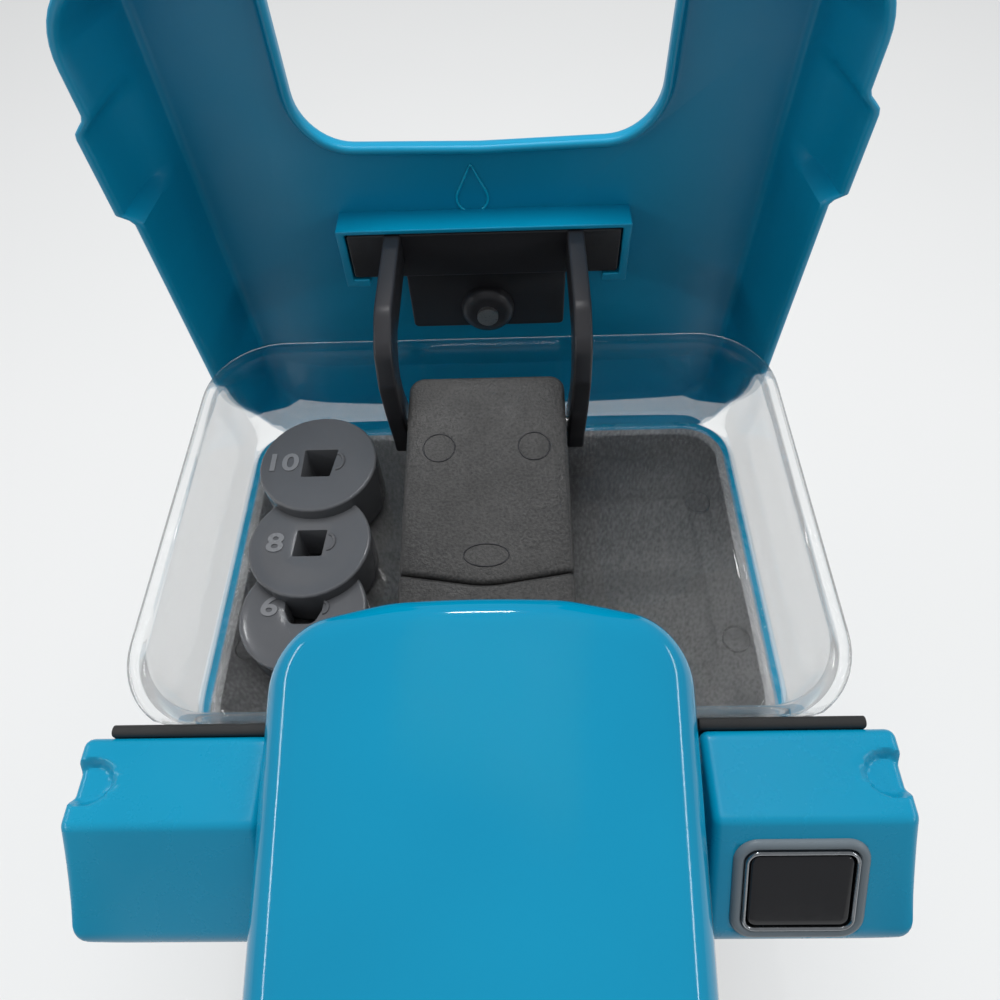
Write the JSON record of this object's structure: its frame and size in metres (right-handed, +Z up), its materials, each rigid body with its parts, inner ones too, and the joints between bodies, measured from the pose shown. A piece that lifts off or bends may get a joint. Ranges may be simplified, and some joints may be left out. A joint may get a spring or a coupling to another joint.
{
  "type": "pod coffee maker",
  "caption": "Pod coffee maker with a clear top tank, lid standing open behind it, crowned brew head, sloping front with a brew button, cup bay and drip tray.",
  "frame": {"origin": "middle of the overall box, at the flat face under the feet", "axes": "+X to the right seen from the front, +Y to the back, +Z up"},
  "size_m": [0.184, 0.255, 0.3374],
  "materials": {
    "shell_teal": "glossy moulded teal plastic",
    "clear_plastic": "clear moulded plastic",
    "gauge_grey": "glossy mid grey plastic",
    "textured_black": "fine spark-textured dark grey plastic",
    "bracket_black": "satin black plastic",
    "panel_black": "satin black plastic",
    "bezel_grey": "satin grey plastic",
    "frame_silver": "bright silver trim",
    "button_black": "gloss black plastic",
    "chrome_trim": "polished chrome",
    "steel": "plain steel",
    "seal_black": "soft black rubber",
    "tube_silicone": "translucent silicone",
    "board_green": "circuit board",
    "heater_metal": "drawn metal can"
  },
  "bodies": {
    "base": {"base_plate": "panel_black", "feet": "seal_black", "rear_housing": "shell_teal", "rear_cover": "panel_black", "cover_straps": "panel_black", "cover_screws": "steel", "cord_gland": "seal_black", "bay_panel": "panel_black", "deck_plate": "textured_black", "deck_screws": "steel", "deck_bosses": "panel_black", "tank": "clear_plastic", "outlet_strainer": "panel_black", "tank_seal": "seal_black", "fill_gauge": "gauge_grey", "tower_body": "textured_black", "tower_nose": "textured_black", "lid_pins": "steel", "head_pins": "steel", "front_housing": "shell_teal", "front_trim": "chrome_trim", "button_bezel": "bezel_grey", "button_frame": "frame_silver", "button_spring": "steel", "control_board": "board_green", "button_switch": "panel_black", "board_posts": "panel_black", "brew_frame": "panel_black", "pod_holder": "panel_black", "lower_needle": "steel", "inner_frame": "panel_black", "heater_stand": "panel_black", "water_heater": "heater_metal", "thermostat": "steel", "thermal_fuse": "steel", "water_pump": "panel_black", "pump_motor": "steel", "inlet_tube": "tube_silicone", "cold_tube": "tube_silicone", "hot_tube": "tube_silicone", "power_board": "board_green", "board_standoffs": "panel_black"},
    "lid": {"tank_lid": "shell_teal", "lid_bracket": "bracket_black", "bracket_screw": "steel"},
    "head": {"head_cover": "shell_teal", "head_chassis": "panel_black", "upper_needle": "steel", "needle_gasket": "seal_black"},
    "button": {"brew_button": "button_black"},
    "tray": {"drip_tray": "panel_black"},
    "grate": {"drip_grate": "chrome_trim"}
  },
  "joints": [
    {"name": "lid_hinge", "type": "hinge", "parent": "base", "child": "lid", "pos_m": [0, 0.08, 0.212], "axis": [1, 0, 0], "range_deg": [0, 90]},
    {"name": "head_hinge", "type": "hinge", "parent": "base", "child": "head", "pos_m": [0, -0.011, 0.244], "axis": [-1, 0, 0], "range_deg": [0, 45]},
    {"name": "button_press", "type": "slide", "parent": "base", "child": "button", "axis": [0, 0.7604, -0.6495], "range_m": [0, 0.0015], "stiffness_N_per_m": 350, "springref_m": -0.001},
    {"name": "tray_slide", "type": "slide", "parent": "base", "child": "tray", "axis": [0, -1, 0], "range_m": [0, 0.09]},
    {"name": "grate_lift", "type": "slide", "parent": "tray", "child": "grate", "axis": [0, 0, 1], "range_m": [0, 0.04]}
  ]
}
